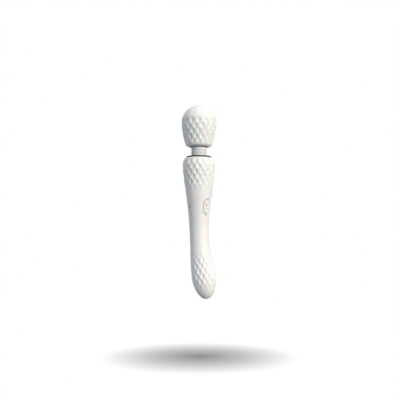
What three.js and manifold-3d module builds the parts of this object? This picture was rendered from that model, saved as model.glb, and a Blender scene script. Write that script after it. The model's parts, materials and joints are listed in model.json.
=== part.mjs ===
// A cordless wand massager: a ball-shaped head on a short flexible neck, and a slim handle
// with a curved tail. Millimetres, +Z up along the handle, buttons on the -Y side, charging
// hole on the -X side. The origin is on the handle's axis at the middle of the grip.
import * as THREE from "three";
import { mergeVertices } from "three/addons/utils/BufferGeometryUtils.js";
import Module from "manifold-3d";

const wasm = await Module();
wasm.setup();

// ---- Driving dimensions ----
const GAP = 0.3; // clearance kept between pieces that touch
const SKIN = 1.5; // silicone thickness
const WALL = 1.5; // casing thickness
const CASING = SKIN + GAP; // depth of the casing's outside below the surface
const HOLLOW = CASING + WALL; // depth of the casing's inside below the surface

const HEAD_R = 21.2;
const HEAD_CENTRE_Z = 128.8;
const HEAD_BASE_Z = 99.2;
const HEAD_SPLIT_Z = 118; // where the two head cups meet
const HEAD_OPENING_R = 10.5;

const NECK_R = 9.25;
const NECK_BORE_R = 7.6;
const LOWER_HINGE_Z = 90.9; // the neck bends about X here
const UPPER_HINGE_Z = 95.2; // and about Y here

const RIM_Z = 85.8; // top edge of the handle's skin
const SEAT_Z = 84.8; // where the skin stops under the trim ring
const RIM_R = 15.4;
const TAIL_R = 14.5;
const TAIL_WIDEST = -58; // along the axis, where the tail is widest
const TAIL_TIP = -85.3;
const BEND_START = 7; // the axis is straight above this, and an arc below it
const BEND_R = 253;
const BEND_ANGLE = THREE.MathUtils.degToRad(12.15);

const PANEL_AT = 25.4; // height of the buttons and of the charging hole
const PANEL_R = 13.55; // the handle's radius there
const PANEL_TILT = THREE.MathUtils.degToRad(6); // and its taper
const PAD_W = 9.5;
const PAD_H = 18.6;
const BUTTON_R = 3.1;
const BUTTON_OFFSET = 4.7; // of each button from the pad's centre
const LAND_R = 3.4; // flat land round the charging hole
const PORT_R = 1.1;
const PORT_TURN = THREE.MathUtils.degToRad(-99); // round from the buttons

const SKIN_SIDES = 28;
const ROUND_SIDES = 16;
const SMALL_SIDES = 8;

// ---- Materials ----
const material = (color, roughness, metalness = 0) =>
  new THREE.MeshStandardMaterial({ color, roughness, metalness });
const SILICONE = material(0xf1efec, 0.55);
const NECK_GREY = material(0xb9b7b6, 0.6);
const TRIM_BLACK = material(0x19191b, 0.35);
const CASING_WHITE = material(0xd9d9d6, 0.5);
const HOLDER_GREY = material(0x6f7275, 0.7);
const STEEL = material(0xb4b6b8, 0.3, 1);
const BRASS = material(0xc9a24a, 0.35, 1);
const BOARD_GREEN = material(0x1e5b36, 0.5);
const CHIP_BLACK = material(0x202124, 0.45);
const LAMP_GREEN = material(0xb8e8c0, 0.2);
const CELL_BLUE = material(0x2c4f94, 0.4);
const LEAD_RED = material(0xa82a25, 0.5);
const LEAD_BLACK = material(0x1c1c1e, 0.5);

// ---- Solids ----

// A closed geometry as a manifold-3d solid, with its faces turned out.
function solidOf(geometry) {
  const bare = geometry.index ? geometry.toNonIndexed() : geometry.clone();
  bare.deleteAttribute("normal");
  bare.deleteAttribute("uv");
  const merged = mergeVertices(bare, 1e-4);
  const corners = merged.index.array;
  const triVerts = [];
  for (let i = 0; i < corners.length; i += 3) {
    const [a, b, c] = corners.slice(i, i + 3);
    if (a !== b && b !== c && c !== a) triVerts.push(a, b, c);
  }
  const build = (faces) =>
    new wasm.Manifold(
      new wasm.Mesh({
        numProp: 3,
        vertProperties: merged.attributes.position.array,
        triVerts: new Uint32Array(faces),
      }),
    );
  const made = build(triVerts);
  return made.volume() < 0 ? build(triVerts.reverse()) : made;
}

// A profile of [radius, height] points, closed on itself, turned round the Z axis.
function turned(profile, sides = ROUND_SIDES) {
  const points = profile.map(([r, z]) => new THREE.Vector2(r, z));
  const onAxis = points[0].x === 0 && points.at(-1).x === 0;
  if (!onAxis) points.push(points[0].clone());
  return solidOf(new THREE.LatheGeometry(points, sides).rotateX(Math.PI / 2));
}

const disc = (r, low, high, sides = ROUND_SIDES) =>
  turned([[0, low], [r, low], [r, high], [0, high]], sides);

const tube = (inner, outer, low, high, sides = ROUND_SIDES) =>
  turned([[inner, low], [outer, low], [outer, high], [inner, high]], sides);

// A box from its lowest to its highest corner.
function block([x0, y0, z0], [x1, y1, z1]) {
  const box = new THREE.BoxGeometry(x1 - x0, y1 - y0, z1 - z0);
  return solidOf(box.translate((x0 + x1) / 2, (y0 + y1) / 2, (z0 + z1) / 2));
}

// A round bar along X at height s and depth y.
function barAlongX(r, x0, x1, y, s) {
  const bar = new THREE.CylinderGeometry(r, r, x1 - x0, SMALL_SIDES);
  return solidOf(bar.rotateZ(Math.PI / 2).translate((x0 + x1) / 2, y, s));
}

// A pill-shaped prism standing on the XY plane, its long side along Y.
function pill(width, height, low, high) {
  const r = width / 2;
  const half = height / 2 - r;
  const shape = new THREE.Shape();
  shape.absarc(0, half, r, 0, Math.PI);
  shape.absarc(0, -half, r, Math.PI, 2 * Math.PI);
  const options = { depth: high - low, bevelEnabled: false, curveSegments: 6 };
  return solidOf(new THREE.ExtrudeGeometry(shape, options).translate(0, 0, low));
}

// A solid moved by a matrix, by way of its own mesh.
function moved(solid, matrix) {
  return solidOf(geometryOf(solid).applyMatrix4(matrix));
}

function geometryOf(solid) {
  const { vertProperties, triVerts, numProp, numVert } = solid.getMesh();
  const positions = new Float32Array(numVert * 3);
  for (let i = 0; i < numVert; i++)
    positions.set(vertProperties.subarray(i * numProp, i * numProp + 3), i * 3);
  return new THREE.BufferGeometry()
    .setAttribute("position", new THREE.BufferAttribute(positions, 3))
    .setIndex(new THREE.BufferAttribute(triVerts, 1));
}

const shift = (x, y, z) => new THREE.Matrix4().makeTranslation(x, y, z);

// A flexible lead of round section through the points.
function lead(points, r, steps) {
  const section = new THREE.Shape().absarc(0, 0, r, 0, 2 * Math.PI);
  const extrudePath = new THREE.CatmullRomCurve3(points);
  return solidOf(
    new THREE.ExtrudeGeometry(section, { steps, extrudePath, curveSegments: 3 }),
  );
}

// ---- The axis ----

// Where a point of the straight handle goes once its axis is bent. The height of a point
// of the straight handle is its distance along the axis.
function bentPoint({ x, y, z }) {
  const along = Math.max(0, BEND_START - z);
  const angle = Math.min(along / BEND_R, BEND_ANGLE);
  const beyond = along - BEND_R * angle;
  const axisY = -BEND_R * (1 - Math.cos(angle)) - beyond * Math.sin(angle);
  const axisZ =
    along > 0 ? BEND_START - BEND_R * Math.sin(angle) - beyond * Math.cos(angle) : z;
  return new THREE.Vector3(x, axisY + y * Math.cos(angle), axisZ - y * Math.sin(angle));
}

function bentGeometry(geometry) {
  const position = geometry.getAttribute("position");
  const point = new THREE.Vector3();
  for (let i = 0; i < position.count; i++) {
    point.copy(bentPoint(point.fromBufferAttribute(position, i)));
    position.setXYZ(i, point.x, point.y, point.z);
  }
  return geometry;
}

// ---- Outlines ----

// The head's outline from its top to the edge of its opening, at a depth below the surface.
function headOutline(depth, opening) {
  const path = new THREE.Path();
  path.absarc(0, HEAD_CENTRE_Z, HEAD_R - depth, Math.PI / 2, 0, true);
  path.bezierCurveTo(HEAD_R - depth, 120.5, 19 - depth, 112, 17.6 - depth, 105.2);
  path.quadraticCurveTo(15.6 - depth, HEAD_BASE_Z + depth, 11.9, HEAD_BASE_Z + depth);
  path.lineTo(opening, HEAD_BASE_Z + depth);
  return path.getPoints(4).map((p) => [Math.max(p.x, 0), p.y]);
}

// The handle's outline from the rim of its skin to the tip of its tail.
const HANDLE_POINTS = [
  [RIM_R, RIM_Z], [17.5, 84.4], [18.9, 81.6], [19.6, 77.7], [19.6, 72.5], [18.3, 60],
  [16.1, 44.5], [PANEL_R, PANEL_AT], [12.0, 8], [11.4, -6], [11.7, -22], [13.1, -39],
  [TAIL_R, TAIL_WIDEST],
];
const HANDLE_CURVE = new THREE.SplineCurve(HANDLE_POINTS.map((p) => new THREE.Vector2(...p)));
const TAIL_CURVE = new THREE.EllipseCurve(
  0, TAIL_WIDEST, TAIL_R, TAIL_WIDEST - TAIL_TIP, 0, -Math.PI / 2, true,
);

// The same at a depth below the surface, each point moved in along its normal.
function handleOutline(depth) {
  const inward = (curve, u) => {
    const along = curve.getTangent(u);
    const p = curve.getPoint(u);
    return [Math.max(p.x + along.y * depth, 0), p.y - along.x * depth];
  };
  const body = [...Array(17).keys()].map((i) => inward(HANDLE_CURVE, i / 16));
  const tail = [...Array(6).keys()].map((i) => inward(TAIL_CURVE, (i + 1) / 6));
  tail.at(-1)[0] = 0;
  return [...body, ...tail];
}

// The whole handle as one straight solid at a depth below the surface, cut off at a height.
function handleSolid(depth, top) {
  const below = handleOutline(depth).filter(([, z]) => z < top - 0.5);
  return turned([[0, top], [below[0][0] - 0.4, top], ...below], SKIN_SIDES);
}

// ---- Frames for the pieces set in the handle's side ----

const sideFrame = (turn) =>
  new THREE.Matrix4()
    .makeRotationZ(turn)
    .multiply(new THREE.Matrix4().makeTranslation(0, -PANEL_R, PANEL_AT))
    .multiply(new THREE.Matrix4().makeRotationX(Math.PI / 2 + PANEL_TILT));
const PANEL = sideFrame(0); // local Z points out of the front, local Y up the handle
const PORT = sideFrame(PORT_TURN); // the same on the left side

// ---- The assembly ----
const massager = new THREE.Group();

function add(name, solid, look, bent = false) {
  const geometry = geometryOf(solid);
  const mesh = new THREE.Mesh(bent ? bentGeometry(geometry) : geometry, look);
  mesh.geometry.computeVertexNormals();
  mesh.name = name;
  massager.add(mesh);
}

// A screw with a pan head, its shank pointing along -Z from the origin.
function screwSolid(length) {
  return turned([
    [0, 1.5], [1.1, 1.4], [1.6, 0.9], [1.6, 0], [1, 0], [1, 0.6 - length], [0, -length],
  ], SMALL_SIDES);
}

// ---- Head ----
const HEAD_SCREW_R = 13.4;
const HEAD_SCREW_ANGLES = [30, 150, 270].map(THREE.MathUtils.degToRad);

// A solid made about the Z axis, carried out to a radius and turned to an angle.
function offAxis(solid, r, angle, z = 0) {
  const turn = new THREE.Matrix4().makeRotationZ(angle);
  return moved(solid, turn.multiply(shift(r, 0, z)));
}

function addHeadCovers() {
  const outside = headOutline(0, HEAD_OPENING_R);
  const inside = headOutline(SKIN, HEAD_OPENING_R).reverse();
  add("head_skin", turned([...outside, ...inside], SKIN_SIDES), SILICONE);
  const ring = [[9.6, 98.45], [9.8, 98.35], [10.3, 98.35], [10.3, 100.6], [9.6, 100.6]];
  add("head_trim_ring", turned(ring, SKIN_SIDES), TRIM_BLACK);

  const collarHoleR = 6.3;
  let cups = turned(
    [...headOutline(CASING, collarHoleR), ...headOutline(HOLLOW, collarHoleR).reverse()],
    ROUND_SIDES,
  );
  const bulk = turned([...headOutline(CASING + 0.1, 0.5), [0, HEAD_BASE_Z + CASING + 0.2]], ROUND_SIDES);
  const post = disc(2.1, 112.4, 125, SMALL_SIDES).add(block([0, -1.2, 112.4], [5, 1.2, 125]));
  for (const angle of HEAD_SCREW_ANGLES)
    cups = cups.add(offAxis(post, HEAD_SCREW_R, angle).intersect(bulk));
  for (const angle of HEAD_SCREW_ANGLES) {
    cups = cups.subtract(offAxis(disc(1.3, 110, 124.2, SMALL_SIDES), HEAD_SCREW_R, angle));
    cups = cups.subtract(offAxis(disc(2, 110.2, 112.4, SMALL_SIDES), HEAD_SCREW_R, angle));
  }
  const above = disc(30, HEAD_SPLIT_Z + GAP / 2, 160);
  const below = disc(30, 90, HEAD_SPLIT_Z - GAP / 2);
  add("head_cup_upper", cups.intersect(above), CASING_WHITE);
  add("head_cup_lower", cups.intersect(below), CASING_WHITE);
  HEAD_SCREW_ANGLES.forEach((angle, i) => {
    const upward = moved(screwSolid(11.5), new THREE.Matrix4().makeRotationX(Math.PI));
    add("head_screw_" + (i + 1), offAxis(upward, HEAD_SCREW_R, angle, 112.1), STEEL);
  });
}

// Half a disc with a hub, and a bore for the shaft.
function eccentricWeight(r, hub, bore, low, high) {
  const half = disc(r, low, high).intersect(block([-r, 0, low - 1], [r, r, high + 1]));
  return half.add(disc(hub, low, high)).subtract(disc(bore, low - 1, high + 1, SMALL_SIDES));
}

function addHeadMotor() {
  const can = turned([
    [0, 105.2], [9.4, 105.2], [10, 105.8], [10, 125.9], [9.4, 126.5], [3, 126.5], [3, 127.5],
    [1.2, 127.5], [1.2, 119.7], [0, 119.7],
  ]);
  add("head_motor_can", can, STEEL);
  const holder = turned([
    [10.3, 103], [11.1, 103], [11.1, 122], [10.3, 122],
  ]);
  add("head_motor_holder", holder, HOLDER_GREY);
  add("head_motor_shaft", disc(0.9, 120, 137.5, SMALL_SIDES), STEEL);
  add("head_eccentric_weight", eccentricWeight(9, 3, 1.2, 129.5, 136.5), BRASS);
}

// ---- Neck ----
function addNeck() {
  const collarLow = UPPER_HINGE_Z + 3.1;
  const upperCollar = [
    [4.2, collarLow], [5.9, collarLow], [5.9, 102.9], [9.5, 102.9], [9.5, 104.6], [4.2, 104.6],
  ];
  add("neck_upper_collar", turned(upperCollar), HOLDER_GREY);
  add("neck_sleeve_upper", grooved(UPPER_HINGE_Z, 100.7), NECK_GREY);
  add("neck_mid_ring", tube(5.9, NECK_R, LOWER_HINGE_Z + 0.35, UPPER_HINGE_Z - 0.35, SKIN_SIDES), NECK_GREY);
  add("neck_core", tube(2.6, 5.5, LOWER_HINGE_Z - 1.5, UPPER_HINGE_Z + 1.2), HOLDER_GREY);
  add("neck_sleeve_lower", grooved(SEAT_Z, LOWER_HINGE_Z), NECK_GREY);
  const collarHigh = LOWER_HINGE_Z - 3.7;
  const lowerCollar = [
    [4.2, 80.8], [9.5, 80.8], [9.5, 82.6], [5.9, 82.6], [5.9, collarHigh], [4.2, collarHigh],
  ];
  add("neck_lower_collar", turned(lowerCollar), HOLDER_GREY);
}

// A band of the flexible neck with a small step at each end, which makes the grooves.
function grooved(low, high) {
  const step = 0.5;
  const top = high - step;
  const bottom = low + step;
  return turned([
    [NECK_BORE_R, low], [NECK_R - step, low], [NECK_R, bottom], [NECK_R, top],
    [NECK_R - step, high], [NECK_BORE_R, high],
  ], SKIN_SIDES);
}

// ---- Handle covers ----

// Casing screws: depth y, height along the axis, where the head seats and how long it is.
const CASE_SCREWS = [
  { y: 12.5, s: 72, seat: 6, length: 12 },
  { y: -12.5, s: 72, seat: 6, length: 12 },
  { y: 8, s: 30, seat: 3.5, length: 8 },
  { y: 5, s: -32, seat: 4, length: 9 },
];
const SHOULDER_RING = [
  [9.55, SEAT_Z + GAP], [15.1, SEAT_Z + GAP], [15.1, 86.9], [14.7, 87.4], [13.4, 87.6], [9.55, 87.6],
];

function addHandleCovers() {
  add("shoulder_ring", turned(SHOULDER_RING, SKIN_SIDES), TRIM_BLACK);

  const surface = handleSolid(0, RIM_Z);
  const lining = handleSolid(SKIN, SEAT_Z + 0.1);
  const sleeve = surface.subtract(lining).subtract(disc(RIM_R, SEAT_Z, 90, SKIN_SIDES));
  const window = moved(pill(PAD_W + 2 * GAP, PAD_H + 2 * GAP, -6, 6), PANEL);
  const land = moved(disc(LAND_R, -0.45, 5), PORT);
  const hole = moved(disc(PORT_R, -6, 6, SMALL_SIDES), PORT);
  add("handle_skin", sleeve.subtract(window).subtract(land).subtract(hole), SILICONE, true);

  const padHoles = [BUTTON_OFFSET, -BUTTON_OFFSET].map((v) =>
    moved(disc(BUTTON_R + GAP, -6, 6), PANEL.clone().multiply(shift(0, v, 0))),
  );
  const pad = sleeve.intersect(moved(pill(PAD_W, PAD_H, -6, 6), PANEL));
  add("button_pad", pad.subtract(padHoles[0]).subtract(padHoles[1]), SILICONE, true);

  const outside = handleSolid(CASING, SEAT_Z - GAP);
  let casing = outside.subtract(handleSolid(HOLLOW, 83)).subtract(disc(6.3, 80, 90));
  for (const { y, s } of CASE_SCREWS)
    casing = casing.add(barAlongX(2.4, -16, 16, y, s).intersect(outside));
  for (const { y, s, seat, length } of CASE_SCREWS) {
    casing = casing.subtract(barAlongX(2.1, seat - GAP, 30, y, s));
    casing = casing.subtract(barAlongX(1.3, seat - length - GAP, seat, y, s));
  }
  casing = casing.subtract(moved(pill(PAD_W - 0.6, PAD_H - 0.6, -6, 3), PANEL));
  casing = casing.subtract(moved(disc(2.7, -6, 3, SMALL_SIDES), PORT));
  const left = block([-40, -40, -100], [-GAP / 2, 40, 100]);
  const right = block([GAP / 2, -40, -100], [40, 40, 100]);
  add("handle_shell_left", casing.intersect(left), CASING_WHITE, true);
  add("handle_shell_right", casing.intersect(right), CASING_WHITE, true);

  CASE_SCREWS.forEach(({ y, s, seat, length }, i) => {
    const at = bentPoint(new THREE.Vector3(seat, y, s));
    const matrix = new THREE.Matrix4().makeTranslation(at.x, at.y, at.z);
    matrix.multiply(new THREE.Matrix4().makeRotationY(Math.PI / 2));
    add("handle_screw_" + (i + 1), moved(screwSolid(length), matrix), STEEL);
  });
}

// ---- Buttons, board and charging socket ----
const BOARD_TOP = -7.3; // below the surface, at the panel
const PLUNGER_R = 0.9;

// A button's cap, the flange that keeps it in and the stem that meets its switch.
const BUTTON_PROFILE = [
  [0, 0.45], [1.6, 0.4], [2.6, 0.15], [BUTTON_R, -0.35], [BUTTON_R, -2.5], [3.8, -2.5],
  [3.8, -3.2], [1.2, -3.2], [1.2, -4.4], [0, -4.4],
];

function addButton(buttonName, switchName, v) {
  const frame = PANEL.clone().multiply(shift(0, v, 0));
  add(buttonName, moved(turned(BUTTON_PROFILE), frame), SILICONE);
  const plunger = disc(PLUNGER_R, -6.2, -4.7, SMALL_SIDES);
  add(switchName + "_plunger", moved(plunger, frame), TRIM_BLACK);
  const housing = block([-2.2, -2.2, -7], [2.2, 2.2, -5.4]);
  const well = disc(PLUNGER_R + GAP, -6.75, -5, SMALL_SIDES);
  add(switchName + "_housing", moved(housing.subtract(well), frame), STEEL);
}

function addElectronics() {
  addButton("power_button", "upper_switch", BUTTON_OFFSET);
  addButton("mode_button", "lower_switch", -BUTTON_OFFSET);
  const onPanel = (low, high) => moved(block(low, high), PANEL);
  add("circuit_board", onPanel([-5.8, -17, BOARD_TOP - 1], [5.8, 15.5, BOARD_TOP]), BOARD_GREEN);
  add("control_chip", onPanel([-2.5, -14.5, -7], [2.5, -9.5, -6]), CHIP_BLACK);
  add("charge_led", moved(disc(0.9, -7, -5.6, SMALL_SIDES), PANEL.clone().multiply(shift(0, 11, 0))),
    LAMP_GREEN);

  const socket = turned([
    [PORT_R - 0.2, -3.6], [2.4, -3.6], [2.4, -10.5], [0, -10.5], [0, -9.6], [PORT_R - 0.2, -9.6],
  ], SMALL_SIDES);
  add("charge_socket", moved(socket, PORT), CHIP_BLACK);
  add("charge_contact_pin", moved(disc(0.4, -9.3, -4.2, SMALL_SIDES), PORT), BRASS);
}

function addBattery() {
  const cell = turned([
    [0, 43.4], [8.6, 43.4], [9.1, 43.9], [9.1, 77.1], [8.6, 77.6], [3, 77.6], [3, 78.4], [0, 78.4],
  ]);
  add("battery_cell", cell, CELL_BLUE);
  add("battery_holder", tube(9.4, 10, 46.5, 76), HOLDER_GREY);
}

// ---- Tail motor ----
function addTailMotor() {
  const can = turned([
    [0, -52], [6, -52], [6, -67.5], [2, -67.5], [2, -68.3], [1, -68.3], [1, -62.7], [0, -62.7],
  ]);
  add("tail_motor_can", can, STEEL, true);
  const holder = turned([
    [6.3, -50.8], [10.3, -50.8], [10.3, -52.8], [7.3, -52.8], [7.3, -64.2], [10, -64.2],
    [10, -66.2], [6.3, -66.2],
  ]);
  add("tail_motor_holder", holder, HOLDER_GREY, true);
  add("tail_motor_shaft", disc(0.7, -77, -63, SMALL_SIDES), STEEL, true);
  add("tail_eccentric_weight", eccentricWeight(5, 2, 1, -76.5, -70.5), BRASS, true);
}

// ---- Leads ----
function addLeads() {
  const at = (x, y, z) => bentPoint(new THREE.Vector3(x, y, z));
  add("head_lead_upper", lead([at(0, 0, 98.7), at(0.4, 0, 102.6), at(0, 0, 104.9)], 0.8, 4),
    LEAD_BLACK);
  add("head_lead_middle", lead([at(0, 0, 89.8), at(0, 0, 96)], 0.8, 2), LEAD_BLACK);
  add("head_lead_lower", lead([
    at(5, -3.6, 39), at(9.5, -1.5, 41.5), at(11.7, 0, 46), at(12.3, 0, 60), at(12, 0, 74),
    at(8.5, 0, 79.4), at(3, 0, 79.8), at(0.4, 0, 83), at(0, 0, 86.8),
  ], 0.8, 20), LEAD_BLACK);
  add("battery_lead_red", lead([at(-3, 2, 43), at(-3, 1, 40), at(-3, -3, 37), at(-3, -5.6, 36.4)],
    0.6, 8), LEAD_RED);
  add("battery_lead_black", lead([at(1, 2, 43), at(1, 1, 40), at(1, -3, 37), at(1, -5.6, 36.4)],
    0.6, 8), LEAD_BLACK);
  add("charge_lead", lead([at(-2.6, 0, 25), at(-0.5, 0, 24), at(0.3, -2.5, 23.6), at(0.3, -4.6, 23.4)],
    0.6, 8), LEAD_RED);
  add("tail_lead", lead([
    at(0, -2.6, 13), at(0, -1.6, 8), at(0, -1, -2), at(0, -1.5, -20), at(0, -2.5, -32), at(0, -1, -44),
    at(0, 0, -51.6),
  ], 0.8, 18), LEAD_BLACK);
}

addHeadCovers();
addHeadMotor();
addNeck();
addHandleCovers();
addElectronics();
addBattery();
addTailMotor();
addLeads();

export default massager;
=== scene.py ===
"""A cordless wand massager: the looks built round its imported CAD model."""

import json
import math

import bmesh
import bpy
import numpy as np
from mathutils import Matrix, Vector


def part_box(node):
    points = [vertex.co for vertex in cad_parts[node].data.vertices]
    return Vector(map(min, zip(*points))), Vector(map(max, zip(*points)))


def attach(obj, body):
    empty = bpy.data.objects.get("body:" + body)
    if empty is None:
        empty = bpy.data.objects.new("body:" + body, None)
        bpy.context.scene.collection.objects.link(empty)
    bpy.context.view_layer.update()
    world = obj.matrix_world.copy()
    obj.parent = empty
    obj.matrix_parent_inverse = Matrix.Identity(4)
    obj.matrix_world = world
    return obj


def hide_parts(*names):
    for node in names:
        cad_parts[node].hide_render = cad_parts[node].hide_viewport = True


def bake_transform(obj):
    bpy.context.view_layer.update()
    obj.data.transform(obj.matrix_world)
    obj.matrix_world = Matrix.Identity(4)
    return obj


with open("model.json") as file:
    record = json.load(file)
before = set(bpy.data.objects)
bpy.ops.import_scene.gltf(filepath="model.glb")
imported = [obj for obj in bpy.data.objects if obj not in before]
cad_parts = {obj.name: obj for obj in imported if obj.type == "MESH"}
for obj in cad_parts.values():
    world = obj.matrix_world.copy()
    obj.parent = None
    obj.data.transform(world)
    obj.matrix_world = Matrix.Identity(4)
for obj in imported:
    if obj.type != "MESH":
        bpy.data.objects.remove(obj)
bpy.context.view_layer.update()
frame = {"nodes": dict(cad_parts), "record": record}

# ---- Sizes, in millimetres, the same as the CAD model's ----
MM = 0.001
SKIN = 1.5  # silicone thickness
GAP = 0.3  # clearance between pieces

head_low, head_high = (np.array(corner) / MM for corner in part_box("head_skin"))
HEAD_R = head_high[0]
HEAD_CENTRE_Z = head_high[2] - HEAD_R
HEAD_BASE_Z = head_low[2]
HEAD_OPENING_R = 10.5
HEAD_WAIST = (17.6, 105.2)  # radius and height where the head turns in to its base

RIM_R = 15.4
RIM_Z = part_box("handle_skin")[1][2] / MM
SEAT_Z = RIM_Z - 1  # where the skin stops under the black ring
TAIL_R = 14.5
TAIL_WIDEST = -58  # height where the tail is widest, on the straight handle
TAIL_TIP = -85.3
PANEL_AT = 25.4  # height of the buttons and of the charging hole
PANEL_TILT = math.radians(6)
PANEL_R = 13.55
BEND_START = 7  # the axis is straight above this, and an arc below it
BEND_R = 253
BEND_ANGLE = math.radians(12.15)
HANDLE_POINTS = [
    (RIM_R, RIM_Z), (17.5, 84.4), (18.9, 81.6), (19.6, 77.7), (19.6, 72.5), (18.3, 60),
    (16.1, 44.5), (PANEL_R, PANEL_AT), (12.0, 8), (11.4, -6), (11.7, -22), (13.1, -39),
    (TAIL_R, TAIL_WIDEST),
]

PAD_R = 4.75  # of the pill's round ends
PAD_SPINE = 4.55  # from its middle to the centre of each end
WINDOW_GAP = 0.42  # groove round the pad
BUTTON_R = 3.1
BUTTON_HOLE_R = BUTTON_R + GAP
BUTTON_OFFSET = 4.7  # of each button from the pad's middle
LAND_R = 2.8  # sunk land round the charging hole
LAND_DEPTH = 0.5
PORT_R = 0.85
FRONT = 0.0
LEFT = math.radians(-99)  # the charging hole's way round from the front

# ---- Spacing of the meshes ----
COLUMNS = 312  # round each skin
TURNS = np.arange(COLUMNS) * 2 * math.pi / COLUMNS
FINE = 0.5
MEDIUM = 1.0
COARSE = 3.0
DOME_SPACING = 1.2
RELIEF_LOW_TO_HIGH = (-24, 46)  # the plain stretch of the handle
DOME_FOOT = 137  # the head is plain above this
WINDOW_HALF = (27, 13)  # half the opening left for the pad: columns round, millimetres up
PORT_HALF = (22, 6)  # and for the charging hole


# ---- The scooped diamonds ----
WEAVE = 0.3  # how far the straight ridges are eased into waves
HEAD_ROWS = [1] * 5  # the depth of each half-row, from the top
SHOULDER_ROWS = [1, 1, 1, 1, 0.8, 0.35]
TAIL_ROWS = [0.3, 0.75, 1, 1, 1, 0.9, 0.6, 0.35]


def scoops(turn, height, around, phase, pitch, first, strength, depth):
    """How deep the surface is scooped at each turn (radians) and height.

    around diamonds go round, each pitch high, between ridges that weave up the surface.
    strength says how deep each half-row is, from the one whose middle is at first down.
    The first half-row has a diamond in front at phase 0.5, and a ridge at phase 0.
    """
    u = turn * around / (2 * math.pi) + phase
    v = (height - first) / pitch
    step = 2 * v - np.floor(2 * v)
    v = v + WEAVE * ((1 - np.cos(math.pi * step)) / 2 - step) / 2
    a, b = u + v, u - v
    row = -(np.floor(a) - np.floor(b)).astype(int)
    p = 1 - np.abs(2 * (a - np.floor(a)) - 1)
    q = 1 - np.abs(2 * (b - np.floor(b)) - 1)
    share = np.where((row >= 0) & (row < len(strength)), 1.0, 0.0)
    amount = np.array(strength)[np.clip(row, 0, len(strength) - 1)] * share
    bowl = (1 - (1 - p) ** 2) * (1 - (1 - q) ** 2)
    return depth * amount * bowl


def head_relief(turn, height):
    fade = np.clip((height - (HEAD_BASE_Z + 1.5)) / 5, 0, 1)
    return fade * scoops(turn, height, 16, 0.5, 12.2, 128.8, HEAD_ROWS, 1.1)


def handle_relief(turn, height):
    rim_fade = np.clip((RIM_Z - 0.6 - height) / 2.0, 0, 1)
    shoulder = rim_fade * scoops(turn, height, 16, 0, 12.0, 79.9, SHOULDER_ROWS, 1.05)
    tip_fade = np.clip((height - TAIL_TIP - 6) / 14, 0, 1)
    return shoulder + tip_fade * scoops(turn, height, 14, 0.5, 12.6, -34.3, TAIL_ROWS, 1.0)


# ---- Outlines: arrays of radius, height and the outward normal ----
def spline(points, samples):
    """A Catmull-Rom curve through the points."""
    p = np.array(points, float)
    t = np.linspace(0, len(p) - 1, samples)
    i = np.minimum(t.astype(int), len(p) - 2)
    f = (t - i)[:, None]
    before, after = p[np.maximum(i - 1, 0)], p[np.minimum(i + 2, len(p) - 1)]
    v0, v1 = (p[i + 1] - before) / 2, (after - p[i]) / 2
    rise = p[i + 1] - p[i]
    return p[i] + v0 * f + (3 * rise - 2 * v0 - v1) * f**2 + (v0 + v1 - 2 * rise) * f**3


def bezier(points, samples):
    """A Bezier curve of any degree."""
    p = [np.array(q, float) for q in points]
    t = np.linspace(0, 1, samples)[:, None]
    while len(p) > 1:
        p = [a * (1 - t) + b * t for a, b in zip(p, p[1:])]
    return p[0]


def joined(*curves):
    """Curves end to end, without the doubled points."""
    return np.vstack([curves[0]] + [c[1:] for c in curves[1:]])


class Outline:
    """A profile from one end to the other, known by its length along the curve."""

    def __init__(self, points):
        self.points = points
        step = np.diff(points, axis=0)
        self.length = np.concatenate([[0], np.cumsum(np.hypot(*step.T))])
        along = np.gradient(points, self.length, axis=0)
        self.normal = np.stack([-along[:, 1], along[:, 0]], axis=1)
        self.normal /= np.linalg.norm(self.normal, axis=1)[:, None]

    def at_height(self, z):
        """The length along the curve where it crosses a height."""
        return float(np.interp(-z, -self.points[:, 1], self.length))

    def at(self, length):
        """(radius, height, normal's radius part, normal's height part) at a length."""
        columns = [*self.points.T, *self.normal.T]
        return [np.interp(length, self.length, column) for column in columns]


def arc(centre_z, rx, rz, start, end, samples):
    angle = np.linspace(math.radians(start), math.radians(end), samples)
    return np.stack([rx * np.cos(angle), centre_z + rz * np.sin(angle)], axis=1)


HEAD = Outline(
    joined(
        arc(HEAD_CENTRE_Z, HEAD_R, HEAD_R, 90, 0, 120),
        bezier([(HEAD_R, HEAD_CENTRE_Z), (HEAD_R, 120.5), (19, 112), HEAD_WAIST], 100),
        bezier([HEAD_WAIST, (15.9, 99.2), (11.9, HEAD_BASE_Z)], 60),
    )
)
HANDLE = Outline(
    joined(
        spline(HANDLE_POINTS, 900),
        arc(TAIL_WIDEST, TAIL_R, TAIL_WIDEST - TAIL_TIP, 0, -90, 200),
    )
)
HEAD.normal[0] = (0, 1)
HANDLE.normal[-1] = (0, -1)


def spaced(start, end, spacing):
    return np.linspace(start, end, max(2, round((end - start) / spacing) + 1))


# ---- From outline to space ----
def bent(points):
    """Points of the straight handle carried onto its bent axis."""
    x, y, z = points.T
    along = np.maximum(0, BEND_START - z)
    angle = np.minimum(along / BEND_R, BEND_ANGLE)
    beyond = along - BEND_R * angle
    axis_y = -BEND_R * (1 - np.cos(angle)) - beyond * np.sin(angle)
    axis_z = BEND_START - BEND_R * np.sin(angle) - beyond * np.cos(angle)
    axis_z = np.where(along > 0, axis_z, z)
    return np.stack([x, axis_y + y * np.cos(angle), axis_z - y * np.sin(angle)], axis=1)


def around_axis(radius, turn, height):
    """Turn 0 is the front, -Y, and a quarter turn is +X."""
    return np.stack([radius * np.sin(turn), -radius * np.cos(turn), height], axis=-1)


def on_handle(side, x, v, depth):
    """A point on the handle's side, x across and v up from the panel's middle."""
    height = PANEL_AT + v * math.cos(PANEL_TILT)
    radius, level, nr, nz = HANDLE.at(HANDLE.at_height(height))
    turn = side + math.asin(x / radius)
    return around_axis(radius - depth * nr, turn, level - depth * nz)


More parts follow.
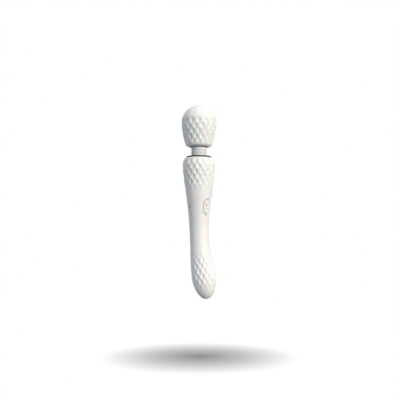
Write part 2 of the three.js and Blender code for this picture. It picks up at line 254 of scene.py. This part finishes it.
def on_panel(side, x, v, w):
    """A point of the flat frame that touches the handle at the panel's middle."""
    c, s = math.cos(PANEL_TILT), math.sin(PANEL_TILT)
    y, z = -PANEL_R - v * s - w * c, PANEL_AT + v * c - w * s
    across, out = math.cos(side), math.sin(side)
    return np.array([x * across - y * out, x * out + y * across, z])


# ---- Meshes ----
class Sheet:
    """Vertices and faces gathered from grids and rings, then made into one mesh."""

    def __init__(self):
        self.parts = []
        self.count = 0
        self.faces = []

    def add(self, points):
        """Adds points of any array shape and returns their indices in that shape."""
        points = np.asarray(points, float)
        flat = points.reshape(-1, 3)
        indices = np.arange(self.count, self.count + len(flat))
        self.parts.append(flat)
        self.count += len(flat)
        return indices.reshape(points.shape[:-1])

    def points(self, indices):
        return np.vstack(self.parts)[indices]

    def circle(self, radius, height, turns):
        """A level row of points round the axis."""
        count = len(turns)
        return self.add(around_axis(np.full(count, radius), turns, np.full(count, height)))

    def strip(self, one, two):
        """Quads between two closed rows of indices of the same length."""
        for i in range(len(one)):
            j = (i + 1) % len(one)
            self.faces.append((one[i], one[j], two[j], two[i]))

    def fan(self, ring, centre):
        """Triangles from a closed row of indices to one index."""
        for i, corner in enumerate(ring):
            self.faces.append((corner, ring[(i + 1) % len(ring)], centre))

    def object(self, name, warp=None):
        points = np.vstack(self.parts)
        if warp:
            points = warp(points)
        mesh = bpy.data.meshes.new(name)
        mesh.from_pydata((points * MM).tolist(), [], [tuple(map(int, f)) for f in self.faces])
        mesh.validate()
        mesh.update()
        piece = bpy.data.objects.new(name, mesh)
        bpy.context.collection.objects.link(piece)
        face_out(piece)
        return piece


def face_out(piece):
    """Merges doubled vertices, drops unused ones, turns every face out and shades smooth."""
    work = bmesh.new()
    work.from_mesh(piece.data)
    bmesh.ops.remove_doubles(work, verts=work.verts, dist=1e-6)
    loose = [v for v in work.verts if not v.link_faces]
    bmesh.ops.delete(work, geom=loose, context="VERTS")
    bmesh.ops.recalc_face_normals(work, faces=work.faces)
    work.to_mesh(piece.data)
    work.free()
    piece.data.polygons.foreach_set("use_smooth", [True] * len(piece.data.polygons))
    piece.data.update()


def grid(sheet, outline, lengths, depth, relief=None, holes=()):
    """A skin round the axis at a depth, with the rectangles in holes left open.

    Returns the rows of indices, and for each hole the closed row round its edge.
    """
    radius, height, nr, nz = (value[:, None] for value in outline.at(np.array(lengths)))
    turns = TURNS[None, :]
    sunk = depth + (relief(turns, height) if relief else 0 * turns)
    rows = sheet.add(around_axis(radius - sunk * nr, turns + 0 * radius, height - sunk * nz))
    lift = sunk + 0 * radius
    open_cells = set()
    edges = []
    for side, half, top, bottom in holes:
        middle = round(side / (2 * math.pi) * COLUMNS)
        across = [(middle + k) % COLUMNS for k in range(-half, half + 1)]
        first, last = (int(np.argmin(abs(np.array(lengths) - end))) for end in (top, bottom))
        open_cells |= {(i, j) for i in range(first, last) for j in across[:-1]}
        edge = [rows[first, j] for j in across]
        edge += [rows[i, across[-1]] for i in range(first + 1, last)]
        edge += [rows[last, j] for j in reversed(across)]
        edge += [rows[i, across[0]] for i in range(last - 1, first, -1)]
        edges.append(np.array(edge))
    for i in range(len(lengths) - 1):
        for j in range(COLUMNS):
            if (i, j) in open_cells:
                continue
            k = (j + 1) % COLUMNS
            a, b, c, d = rows[i, j], rows[i, k], rows[i + 1, k], rows[i + 1, j]
            if lift[i, j] + lift[i + 1, k] <= lift[i, k] + lift[i + 1, j]:
                sheet.faces += [(a, b, c), (a, c, d)]
            else:
                sheet.faces += [(a, b, d), (b, c, d)]
    return rows, edges


def turned(name, profile, sides=96):
    """A closed profile of (radius, height) points turned round Z."""
    sheet = Sheet()
    turns = np.arange(sides) * 2 * math.pi / sides
    rings = [sheet.circle(r, z, turns) for r, z in profile]
    for one, two in zip(rings, rings[1:] + rings[:1]):
        sheet.strip(one, two)
    return sheet.object(name)


def rounded(corners, radius, steps=4):
    """A closed profile with each corner rounded by a short Bezier curve."""
    out = []
    for i, corner in enumerate(corners):
        here = np.array(corner, float)
        ends = []
        for other in (corners[i - 1], corners[(i + 1) % len(corners)]):
            away = np.array(other, float) - here
            reach = min(radius, np.linalg.norm(away) * 0.45)
            ends.append(here + away / np.linalg.norm(away) * reach)
        out += [tuple(p) for p in bezier([ends[0], here, ends[1]], steps)]
    return out


# ---- The silicone skins ----
def head_skin():
    sheet = Sheet()
    dome_end = HEAD.at_height(DOME_FOOT)
    lip = HEAD.length[-1]
    first = spaced(DOME_SPACING, dome_end, DOME_SPACING)
    outside = np.concatenate([first, spaced(dome_end, lip - 0.4, FINE)[1:]])
    rows, _ = grid(sheet, HEAD, outside, 0, head_relief)
    sheet.fan(rows[0], int(sheet.add([0, 0, head_high[2]])))
    inside, _ = grid(sheet, HEAD, spaced(COARSE, lip - 1, COARSE), SKIN)
    sheet.fan(inside[0], int(sheet.add([0, 0, head_high[2] - SKIN])))
    edge = [
        (HEAD_OPENING_R + 0.15, HEAD_BASE_Z + 0.02), (HEAD_OPENING_R, HEAD_BASE_Z + 0.2),
        (HEAD_OPENING_R, HEAD_BASE_Z + SKIN),
    ]
    chain = [rows[-1]] + [sheet.circle(r, z, TURNS) for r, z in edge]
    for one, two in zip(chain, chain[1:] + [inside[-1]]):
        sheet.strip(one, two)
    return sheet.object("head_silicone")


def pill_point(x, v, radius):
    """The nearest point of a pill's outline, as seen from (x, v)."""
    spine = min(max(v, -PAD_SPINE), PAD_SPINE)
    reach = math.hypot(x, v - spine)
    return x * radius / reach, spine + (v - spine) * radius / reach


def circle_point(x, v, radius):
    reach = math.hypot(x, v)
    return x * radius / reach, v * radius / reach


def side_coordinates(points, side):
    """(x, v) on the handle's side for points of the straight handle."""
    turn = np.arctan2(points[:, 0], -points[:, 1]) - side
    x = np.hypot(points[:, 0], points[:, 1]) * np.sin(turn)
    return list(zip(x, (points[:, 2] - PANEL_AT) / math.cos(PANEL_TILT)))


def hole_edge(sheet, edge, side, outline_point, radius, steps):
    """Rings from a rectangle's edge in to an outline on the handle's side.

    The first rings pass evenly from the rectangle to the outline. steps are (how far in
    from the outline's radius, depth). Returns the last ring, and the rectangle's corners
    as seen on the side.
    """
    corners = side_coordinates(sheet.points(edge), side)
    for share in (0.3, 0.6, 0.8):
        ring = []
        for x, v in corners:
            px, pv = outline_point(x, v, radius + 0.5)
            ring.append(on_handle(side, x + (px - x) * share, v + (pv - v) * share, steps[0][1]))
        ring = sheet.add(ring)
        sheet.strip(edge, ring)
        edge = ring
    for inward, depth in steps:
        ring = [on_handle(side, *outline_point(x, v, radius - inward), depth) for x, v in corners]
        ring = sheet.add(ring)
        sheet.strip(edge, ring)
        edge = ring
    return edge, corners


def handle_skin():
    sheet = Sheet()
    (window_columns, window_half), (port_columns, port_half) = WINDOW_HALF, PORT_HALF
    panel_top, panel_bottom = (HANDLE.at_height(PANEL_AT + k * window_half) for k in (1, -1))
    port_top, port_bottom = (HANDLE.at_height(PANEL_AT + k * port_half) for k in (1, -1))
    relief_start, relief_end = (HANDLE.at_height(z) for z in RELIEF_LOW_TO_HIGH)
    tip = HANDLE.length[-1]
    middle = [
        spaced(panel_top, port_top, MEDIUM)[1:], spaced(port_top, port_bottom, MEDIUM)[1:],
        spaced(port_bottom, panel_bottom, MEDIUM)[1:], spaced(panel_bottom, relief_start, MEDIUM)[1:],
    ]

    def lengths(start, end, spacing):
        upper = [spaced(start, relief_end, spacing), spaced(relief_end, panel_top, MEDIUM)[1:]]
        return np.concatenate([*upper, *middle, spaced(relief_start, end, spacing)[1:]])

    holes = [
        (FRONT, window_columns, panel_top, panel_bottom), (LEFT, port_columns, port_top, port_bottom),
    ]
    outside = lengths(0.5, tip - 0.8, FINE)
    rows, (window, port) = grid(sheet, HANDLE, outside, 0, handle_relief, holes)
    sheet.fan(rows[-1], int(sheet.add([0, 0, TAIL_TIP])))
    inside = lengths(2.2, tip - COARSE, COARSE)
    inner, (inner_window, inner_port) = grid(sheet, HANDLE, inside, SKIN, None, holes)
    sheet.fan(inner[-1], int(sheet.add([0, 0, TAIL_TIP + SKIN])))

    window_r = PAD_R + WINDOW_GAP
    soft_edge = [(-0.5, 0), (-0.3, 0.03), (-0.12, 0.14), (-0.02, 0.32), (0, 0.6)]
    outer_ring, _ = hole_edge(sheet, window, FRONT, pill_point, window_r, soft_edge)
    inner_ring, _ = hole_edge(sheet, inner_window, FRONT, pill_point, window_r, [(0, SKIN)])
    sheet.strip(outer_ring, inner_ring)

    land_edge = [(-0.7, 0), (-0.45, -0.14), (-0.2, -0.16), (0, 0.0)]
    outer_ring, corners = hole_edge(sheet, port, LEFT, circle_point, LAND_R, land_edge)
    land = [(LAND_R - 0.1, -LAND_DEPTH), (PORT_R + 0.25, -LAND_DEPTH), (PORT_R, -LAND_DEPTH - 0.2)]
    for radius, w in land:
        ring = sheet.add([on_panel(LEFT, *circle_point(x, v, radius), w) for x, v in corners])
        sheet.strip(outer_ring, ring)
        outer_ring = ring
    inner_ring, _ = hole_edge(sheet, inner_port, LEFT, circle_point, PORT_R, [(0, SKIN)])
    sheet.strip(outer_ring, inner_ring)

    rim = [(RIM_R + 0.12, RIM_Z - 0.02), (RIM_R, RIM_Z - 0.2), (RIM_R, 85.35), (RIM_R - 0.5, 85.3)]
    chain = [rows[0]] + [sheet.circle(r, z, TURNS) for r, z in rim]
    for one, two in zip(chain, chain[1:] + [inner[0]]):
        sheet.strip(one, two)
    return sheet.object("handle_silicone", bent)


# ---- The button pad and its keys ----
PAD_LIP = 0.35  # width of the pad's rounded edge
KEY_TOP = 0.49  # how far a key's middle stands above the panel
KEY_FOOT = -4.4
STROKE_HALF = 0.13
STROKE_RISE = 0.06


def pad_outline(count):
    """Points of the pad's upper half, from its right side round the top to its left side,
    then back along the middle line."""
    arc_points = [
        (PAD_R * math.cos(t), PAD_SPINE + PAD_R * math.sin(t))
        for t in np.linspace(0, math.pi, count * 2 + 1)
    ]
    down = [(-PAD_R, PAD_SPINE * (1 - t)) for t in np.linspace(0, 1, count // 2 + 1)[1:]]
    across = [(PAD_R * (2 * t - 1), 0.0) for t in np.linspace(0, 1, count + 1)[1:]]
    up = [(PAD_R, PAD_SPINE * t) for t in np.linspace(0, 1, count // 2 + 1)[1:-1]]
    return arc_points + down + across + up


def pad_shrunk(x, v, inward):
    """A point of the pad's outline moved in, apart from those on its middle line."""
    if abs(x) < PAD_R - 0.001 and v == 0:
        return x, v
    return pill_point(x, v, PAD_R - inward) if v > 0 else (x * (1 - inward / PAD_R), v)


def button_pad():
    """A pill with a round hole for each key, its top on the handle's own surface."""
    sheet = Sheet()
    outline = pad_outline(24)
    top = [(0, 0.6), (0.02, 0.3), (0.12, 0.12), (PAD_LIP, 0.02)]
    hole = [(GAP, 0.02), (0.1, 0.12), (0, 0.35)]
    centre = BUTTON_OFFSET
    for sign in (1, -1):
        rings = []
        for inward, depth in [(0, SKIN)] + top:
            ring = [pad_shrunk(x, v, inward) for x, v in outline]
            rings.append([on_handle(FRONT, x, sign * v, depth) for x, v in ring])
        seen = [circle_point(x, v - centre, 1) for x, v in outline]
        edge = [pad_shrunk(x, v, PAD_LIP) for x, v in outline]
        for share in (0.33, 0.66):
            ring = []
            for (x, v), (cx, cv) in zip(edge, seen):
                hx, hv = cx * (BUTTON_HOLE_R + GAP), centre + cv * (BUTTON_HOLE_R + GAP)
                level = sign * (v + (hv - v) * share)
                ring.append(on_handle(FRONT, x + (hx - x) * share, level, 0.0))
            rings.append(ring)
        for outward, depth in hole + [(0, SKIN)]:
            r = BUTTON_HOLE_R + outward
            level = [sign * (centre + cv * r) for _, cv in seen]
            rings.append([on_handle(FRONT, cx * r, v, depth) for (cx, _), v in zip(seen, level)])
        indices = [sheet.add(ring) for ring in rings]
        middle = [i for i, (x, v) in enumerate(outline) if v == 0 and abs(x) <= PAD_R]
        first, last = min(middle), max(middle)
        rim = len(top) + 1
        for k, (one, two) in enumerate(zip(indices, indices[1:] + indices[:1])):
            for i in range(len(outline)):
                j = (i + 1) % len(outline)
                shared = first <= i < last
                if shared and k < rim - 1:
                    continue
                sheet.faces.append((one[i], one[j], two[j], two[i]))
    return sheet.object("button_pad_soft")


def key(name, v):
    """A round key with a softly domed top, set in the panel's flat frame."""
    profile = [
        (0.7, 0.47), (1.5, 0.42), (2.2, 0.32), (2.65, 0.18), (2.92, 0.0), (3.05, -0.2),
        (BUTTON_R, -0.5), (BUTTON_R, -2.5), (3.8, -2.5), (3.8, -3.2), (1.2, -3.2), (1.2, KEY_FOOT),
    ]
    sheet = Sheet()
    turns = np.linspace(0, 2 * math.pi, 64, endpoint=False)
    rings = []
    for r, w in profile:
        ring = [on_panel(FRONT, r * math.cos(t), v + r * math.sin(t), w) for t in turns]
        rings.append(sheet.add(ring))
    for one, two in zip(rings, rings[1:]):
        sheet.strip(one, two)
    sheet.fan(rings[0], int(sheet.add(on_panel(FRONT, 0, v, KEY_TOP))))
    sheet.fan(rings[-1], int(sheet.add(on_panel(FRONT, 0, v, KEY_FOOT))))
    return sheet.object(name)


def stroke(sheet, points, v):
    """A thin raised line on a key's domed top, through (x, y) points from its middle."""
    rings = []
    for i, (x, y) in enumerate(points):
        ahead = np.array(points[min(i + 1, len(points) - 1)]) - np.array(points[max(i - 1, 0)])
        side = np.array([-ahead[1], ahead[0]]) / np.hypot(*ahead)
        ring = []
        for turn in np.linspace(0, 2 * math.pi, 8, endpoint=False):
            px, py = np.array([x, y]) + side * STROKE_HALF * math.cos(turn)
            dome = KEY_TOP - 0.04 * (x * x + y * y)
            ring.append(on_panel(FRONT, px, v + py, dome + STROKE_RISE * math.sin(turn)))
        rings.append(sheet.add(ring))
    for one, two in zip(rings, rings[1:]):
        sheet.strip(one, two)
    for ring in (rings[0], rings[-1]):
        sheet.fan(ring, int(sheet.add(sheet.points(ring).mean(axis=0))))


def power_sign():
    """An open circle with a bar, the usual on and off sign."""
    sheet = Sheet()
    circle = [(1.15 * math.cos(t), 1.15 * math.sin(t)) for t in np.radians(np.linspace(125, 415, 30))]
    stroke(sheet, circle, BUTTON_OFFSET)
    stroke(sheet, [(0, 0.5), (0, 1.0), (0, 1.5)], BUTTON_OFFSET)
    return sheet.object("power_sign")


def mode_sign():
    """Two waves, for the vibration pattern."""
    sheet = Sheet()
    for level in (0.45, -0.45):
        wave = [(x, level + 0.28 * math.sin(x * 2.6)) for x in np.linspace(-1.35, 1.35, 24)]
        stroke(sheet, wave, -BUTTON_OFFSET)
    return sheet.object("mode_sign")


# ---- Neck and dark trims ----
NECK_R = 9.25
NECK_BULGE = 0.08
NECK_BORE_R = 7.6
MIDDLE_BORE_R = 5.9
NECK_TOP_Z = 100.65  # inside the head's base
TRIM_BORE_R = 9.5
GROOVE_HALF = 0.06
LOWER_HINGE_Z = 90.9
UPPER_HINGE_Z = 95.2


def neck_band(name, bore, low, high):
    """A band of the neck, its ends rounded into the grooves and its side slightly bulged."""
    end_r = NECK_R - NECK_BULGE
    corners = [(bore, low), (end_r, low), (NECK_R, (low + high) / 2), (end_r, high), (bore, high)]
    profile = rounded(corners, 0.3, 5)
    dense = []
    for a, b in zip(profile, profile[1:] + profile[:1]):
        here, step = np.array(a), np.array(b) - np.array(a)
        count = max(1, round(math.dist(a, b) / 0.35))
        dense += [tuple(here + step * k / count) for k in range(count)]
    return turned(name, dense)


def shoulder_trim():
    low = SEAT_Z + GAP
    side = [(15.2, low), (15.3, 86.9), (14.8, 87.5), (13.4, 87.6)]
    corners = [(TRIM_BORE_R, low), *side, (TRIM_BORE_R, 87.65)]
    return turned("shoulder_trim", rounded(corners, 0.4), 128)


def head_trim():
    low, high = 98.6, 100.6
    corners = [(TRIM_BORE_R, low), (10.35, low), (10.4, high), (TRIM_BORE_R, high)]
    return turned("head_trim", rounded(corners, 0.2), 128)


# ---- Materials ----
class Nodes:
    """A material's node tree, with short calls to add nodes and links."""

    def __init__(self, name):
        self.material = bpy.data.materials.new(name)
        self.material.use_nodes = True
        self.tree = self.material.node_tree
        self.shader = self.tree.nodes["Principled BSDF"]
        self.where = self.tree.nodes.new("ShaderNodeTexCoord").outputs["Object"]

    def noise(self, scale, detail=4.0, stretch=None):
        node = self.tree.nodes.new("ShaderNodeTexNoise")
        node.inputs["Scale"].default_value = scale
        node.inputs["Detail"].default_value = detail
        node.inputs["Roughness"].default_value = 0.55
        source = self.where
        if stretch:
            mapping = self.tree.nodes.new("ShaderNodeMapping")
            mapping.inputs["Scale"].default_value = stretch
            self.tree.links.new(source, mapping.inputs["Vector"])
            source = mapping.outputs["Vector"]
        self.tree.links.new(source, node.inputs["Vector"])
        return node.outputs["Fac"]

    def ramp(self, value, stops):
        """Colour stops as (place, colour) or (place, grey number)."""
        node = self.tree.nodes.new("ShaderNodeValToRGB")
        while len(node.color_ramp.elements) < len(stops):
            node.color_ramp.elements.new(0.5)
        for element, (place, color) in zip(node.color_ramp.elements, stops):
            element.position = place
            element.color = (color, color, color, 1) if isinstance(color, float) else (*color, 1)
        self.tree.links.new(value, node.inputs["Fac"])
        return node.outputs["Color"]

    def bump(self, value, distance):
        node = self.tree.nodes.new("ShaderNodeBump")
        node.inputs["Strength"].default_value = 1.0
        node.inputs["Distance"].default_value = distance
        self.tree.links.new(value, node.inputs["Height"])
        return node.outputs["Normal"]

    def set(self, **sockets):
        """Sets or links the shader's sockets: base_color becomes Base Color."""
        for key_name, value in sockets.items():
            socket = self.shader.inputs[key_name.replace("_", " ").title().replace("Ior", "IOR")]
            if isinstance(value, bpy.types.NodeSocket):
                self.tree.links.new(value, socket)
            else:
                socket.default_value = value
        return self.material


def tinted(color, factor):
    return tuple(min(1.0, channel * factor) for channel in color)


def moulded(name, color, rough, grain, grain_depth, cloud, variation, **more):
    """A moulded or cast surface: faint cloudy colour, uneven gloss and a fine grain.

    grain and cloud are the noises' scales, grain_depth is in metres, and variation is the
    share by which the colour changes.
    """
    n = Nodes(name)
    pale, dark = tinted(color, 1 + variation), tinted(color, 1 - variation)
    tone = n.ramp(n.noise(cloud), [(0.3, dark), (0.7, pale)])
    gloss = n.ramp(n.noise(cloud * 4), [(0.3, rough - 0.06), (0.7, rough + 0.06)])
    fine = n.bump(n.noise(grain, 2.0), grain_depth)
    return n.set(base_color=tone, roughness=gloss, normal=fine, **more)


def silicone(name, color):
    """Soft matt rubber that lets a little light in."""
    return moulded(
        name, color, 0.5, 2200, 0.000012, 35, 0.012,
        subsurface_weight=0.08, subsurface_scale=0.002, sheen_weight=0.12, sheen_roughness=0.5,
    )


def brushed(name, color, rough, stretch):
    """Bare metal with fine lines along one way."""
    n = Nodes(name)
    lines = n.noise(900, 3.0, stretch=stretch)
    tone = n.ramp(lines, [(0.3, tinted(color, 0.85)), (0.7, tinted(color, 1.08))])
    gloss = n.ramp(n.noise(300), [(0.3, rough - 0.08), (0.7, rough + 0.1)])
    return n.set(base_color=tone, roughness=gloss, metallic=1.0, normal=n.bump(lines, 0.00001))


def board_material():
    """Green solder mask with paler copper tracks under it."""
    n = Nodes("solder_mask")
    node = n.tree.nodes.new("ShaderNodeTexBrick")
    node.inputs["Scale"].default_value = 320.0
    node.inputs["Color1"].default_value = (0.02, 0.14, 0.05, 1)
    node.inputs["Color2"].default_value = (0.025, 0.17, 0.06, 1)
    node.inputs["Mortar"].default_value = (0.07, 0.32, 0.12, 1)
    node.inputs["Mortar Size"].default_value = 0.03
    n.tree.links.new(n.where, node.inputs["Vector"])
    gloss = n.ramp(n.noise(500), [(0.3, 0.25), (0.7, 0.4)])
    raised = n.bump(node.outputs["Fac"], 0.00003)
    return n.set(base_color=node.outputs["Color"], roughness=gloss, normal=raised)


LOOKS = {
    "silicone_white": silicone("silicone_white", (0.80, 0.79, 0.775)),
    "neck_grey": moulded("neck_grey", (0.69, 0.69, 0.68), 0.6, 2600, 0.00002, 80, 0.03),
    "trim_black": moulded(
        "trim_black", (0.006, 0.006, 0.007), 0.45, 1800, 0.000006, 90, 0.15, specular_ior_level=0.15
    ),
    "casing_white": moulded("casing_white", (0.62, 0.62, 0.60), 0.45, 1500, 0.00003, 50, 0.03),
    "holder_grey": moulded("holder_grey", (0.12, 0.125, 0.13), 0.65, 2000, 0.00003, 90, 0.08),
    "steel": brushed("steel", (0.56, 0.57, 0.58), 0.3, (1, 1, 0.06)),
    "brass": brushed("brass", (0.72, 0.52, 0.22), 0.32, (0.1, 1, 1)),
    "board_green": board_material(),
    "chip_black": moulded("chip_black", (0.02, 0.02, 0.022), 0.5, 1600, 0.00003, 200, 0.2),
    "lamp_green": moulded("lamp_green", (0.35, 0.75, 0.42), 0.15, 900, 0.000005, 300, 0.1),
    "cell_blue": moulded("cell_blue", (0.035, 0.11, 0.34), 0.3, 700, 0.00001, 70, 0.08),
    "lead_red": moulded("lead_red", (0.42, 0.025, 0.02), 0.4, 1500, 0.00001, 200, 0.1),
    "lead_black": moulded("lead_black", (0.015, 0.015, 0.016), 0.45, 1500, 0.00001, 200, 0.2),
}
HEAD_SHADED_SILICONE = (0.76, 0.75, 0.74)  # the same silicone painted a shade greyer on the head, standing in for the less light that falls there


# ---- The pieces, each on its body and in the place of its CAD solid ----
def dress(piece, body, look, *nodes):
    """The piece rides on a body, stands for CAD nodes and takes a slot's material."""
    piece.data.materials.clear()
    piece.data.materials.append(LOOKS[look])
    if body:
        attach(piece, body)
    if nodes:
        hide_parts(*nodes)
    return piece


def carried_over_nodes():
    """Every CAD node takes the material of its slot."""
    for part in frame["record"]["subparts"]:
        node = frame["nodes"][part["node"]]
        node.data.materials.clear()
        node.data.materials.append(LOOKS[part["material_slot"]])


carried_over_nodes()
ball = dress(head_skin(), "head", "silicone_white", "head_skin")
# the head takes a greyer copy of the white silicone: painted shade for the dimmer light on it
ball.data.materials[0] = silicone("silicone_head_painted_shade", HEAD_SHADED_SILICONE)
dress(head_trim(), "head", "trim_black", "head_trim_ring")
dress(handle_skin(), "handle", "silicone_white", "handle_skin")
dress(shoulder_trim(), "handle", "trim_black", "shoulder_ring")
dress(button_pad(), "handle", "silicone_white", "button_pad")
dress(key("power_key_cap", BUTTON_OFFSET), "power_key", "silicone_white", "power_button")
dress(key("mode_key_cap", -BUTTON_OFFSET), "mode_key", "silicone_white", "mode_button")
dress(power_sign(), "power_key", "neck_grey")
dress(mode_sign(), "mode_key", "neck_grey")

middle_ends = (LOWER_HINGE_Z + GROOVE_HALF, UPPER_HINGE_Z - GROOVE_HALF)
middle_band = neck_band("neck_band_middle", MIDDLE_BORE_R, *middle_ends)
dress(middle_band, "neck_middle", "neck_grey", "neck_mid_ring")

lower_ends = (SEAT_Z + 0.1, LOWER_HINGE_Z - GROOVE_HALF)
lower_band = neck_band("neck_band_lower", NECK_BORE_R, *lower_ends)
dress(lower_band, None, "neck_grey", "neck_sleeve_lower")
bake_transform(lower_band)

upper_ends = (UPPER_HINGE_Z + GROOVE_HALF, NECK_TOP_Z)
upper_band = neck_band("neck_band_upper", NECK_BORE_R, *upper_ends)
dress(upper_band, None, "neck_grey", "neck_sleeve_upper")
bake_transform(upper_band)


# ---- Floor, lights and camera ----
CAMERA_AZIMUTH = math.radians(-45)
CAMERA_DISTANCE = 0.90
CAMERA_HEIGHT = -0.026
AIM_RIGHT = 0.0013
AIM_HEIGHT = 0.0345
FIELD = 0.4838  # width seen at the object
LIGHT_AIM = Vector((0, 0, 0.03))
FLOOR_Z = -0.15
FLOOR_R = 2.5
FLOOR_NEARER = 0.02  # how far the floor's middle is towards the camera
FLOOR_DEPTH = 1.12  # its depth over its width
# a soft shadow painted into the floor's glow, by radius, darkest under the object
FLOOR_PAINTED_SHADOW = [(0.0, (0.275,) * 3), (0.0575, (0.578,) * 3), (0.115, (1, 1, 1))]  # by radius
AMBIENT = [  # colour by height, from straight below to straight above
    (0.0, (0.09, 0.097, 0.107)), (0.45, (0.38, 0.42, 0.47)), (0.6, (0.50, 0.56, 0.62)),
    (0.99, (0.55, 0.58, 0.60)), (1.0, (1.0, 1.0, 1.0)),
]

toward_camera = Vector((math.sin(CAMERA_AZIMUTH), -math.cos(CAMERA_AZIMUTH), 0))
to_right = Vector((math.cos(CAMERA_AZIMUTH), math.sin(CAMERA_AZIMUTH), 0))
up = Vector((0, 0, 1))


def camera():
    data = bpy.data.cameras.new("camera")
    eye = bpy.data.objects.new("camera", data)
    bpy.context.collection.objects.link(eye)
    eye.location = toward_camera * CAMERA_DISTANCE + up * CAMERA_HEIGHT
    aim = to_right * AIM_RIGHT + up * AIM_HEIGHT
    eye.rotation_euler = (aim - eye.location).to_track_quat("-Z", "Y").to_euler()
    data.lens = data.sensor_width * CAMERA_DISTANCE / FIELD
    bpy.context.scene.camera = eye


def floor_disc():
    """A pale round floor below the object that glows white, with a soft shadow painted into its glow
    under its middle.
    """
    mesh = bpy.data.meshes.new("floor")
    turns = np.linspace(0, 2 * math.pi, 96, endpoint=False)
    corners = [(FLOOR_R * math.cos(t), FLOOR_R * math.sin(t), 0) for t in turns]
    mesh.from_pydata(corners, [], [tuple(range(len(corners)))])
    floor = bpy.data.objects.new("floor", mesh)
    floor.location = toward_camera * FLOOR_NEARER + up * FLOOR_Z
    floor.rotation_euler = (0, 0, CAMERA_AZIMUTH)
    floor.scale = (1, FLOOR_DEPTH, 1)
    floor.visible_diffuse = False
    bpy.context.collection.objects.link(floor)
    n = Nodes("floor_painted_shadow")
    distance = n.tree.nodes.new("ShaderNodeVectorMath")
    distance.operation = "LENGTH"
    n.tree.links.new(n.where, distance.inputs[0])
    # painted shadow: the floor's glow is darker towards its middle
    shade = n.ramp(distance.outputs["Value"], FLOOR_PAINTED_SHADOW)
    glow = {"emission_color": shade, "emission_strength": 1.0}
    mesh.materials.append(n.set(base_color=(0, 0, 0, 1), specular_ior_level=0.0, **glow))


def light(name, right, front, height, size, power, color):
    """A round soft light, placed as the camera sees it, that points at the handle."""
    data = bpy.data.lights.new(name, "AREA")
    data.shape = "DISK"
    data.size = size
    data.energy = power
    data.color = color
    lamp = bpy.data.objects.new(name, data)
    bpy.context.collection.objects.link(lamp)
    lamp.location = to_right * right + toward_camera * front + up * height
    lamp.rotation_euler = (LIGHT_AIM - lamp.location).to_track_quat("-Z", "Y").to_euler()


def studio():
    """White all round to the camera. What lights the object is dimmer, most of all from below."""
    world = bpy.data.worlds.new("studio")
    world.use_nodes = True
    tree = world.node_tree
    seen = tree.nodes["Background"]
    seen.inputs["Color"].default_value = (1, 1, 1, 1)
    shed = tree.nodes.new("ShaderNodeBackground")
    where = tree.nodes.new("ShaderNodeTexCoord")
    parts = tree.nodes.new("ShaderNodeSeparateXYZ")
    level = tree.nodes.new("ShaderNodeMapRange")
    level.inputs["From Min"].default_value = -1
    tint = tree.nodes.new("ShaderNodeValToRGB")
    stops = tint.color_ramp.elements
    ends = {0.0: 0, 1.0: -1}  # the ramp starts with a stop at each end
    for place, color in AMBIENT:
        element = stops[ends[place]] if place in ends else stops.new(place)
        element.color = (*color, 1)
    path = tree.nodes.new("ShaderNodeLightPath")
    mix = tree.nodes.new("ShaderNodeMixShader")
    tree.links.new(where.outputs["Generated"], parts.inputs[0])
    tree.links.new(parts.outputs["Z"], level.inputs["Value"])
    tree.links.new(level.outputs[0], tint.inputs["Fac"])
    tree.links.new(tint.outputs["Color"], shed.inputs["Color"])
    tree.links.new(path.outputs["Is Camera Ray"], mix.inputs["Fac"])
    tree.links.new(shed.outputs[0], mix.inputs[1])
    tree.links.new(seen.outputs[0], mix.inputs[2])
    tree.links.new(mix.outputs[0], tree.nodes["World Output"].inputs["Surface"])
    bpy.context.scene.world = world


camera()
floor_disc()
light("key", 0.92, 0.98, 0.38, 0.45, 15.0, (1.0, 0.915, 0.80))
light("top", 0.05, 0.1, 1.3, 0.6, 4.6, (1.0, 0.99, 0.98))
studio()
bpy.context.scene.view_settings.view_transform = "Standard"
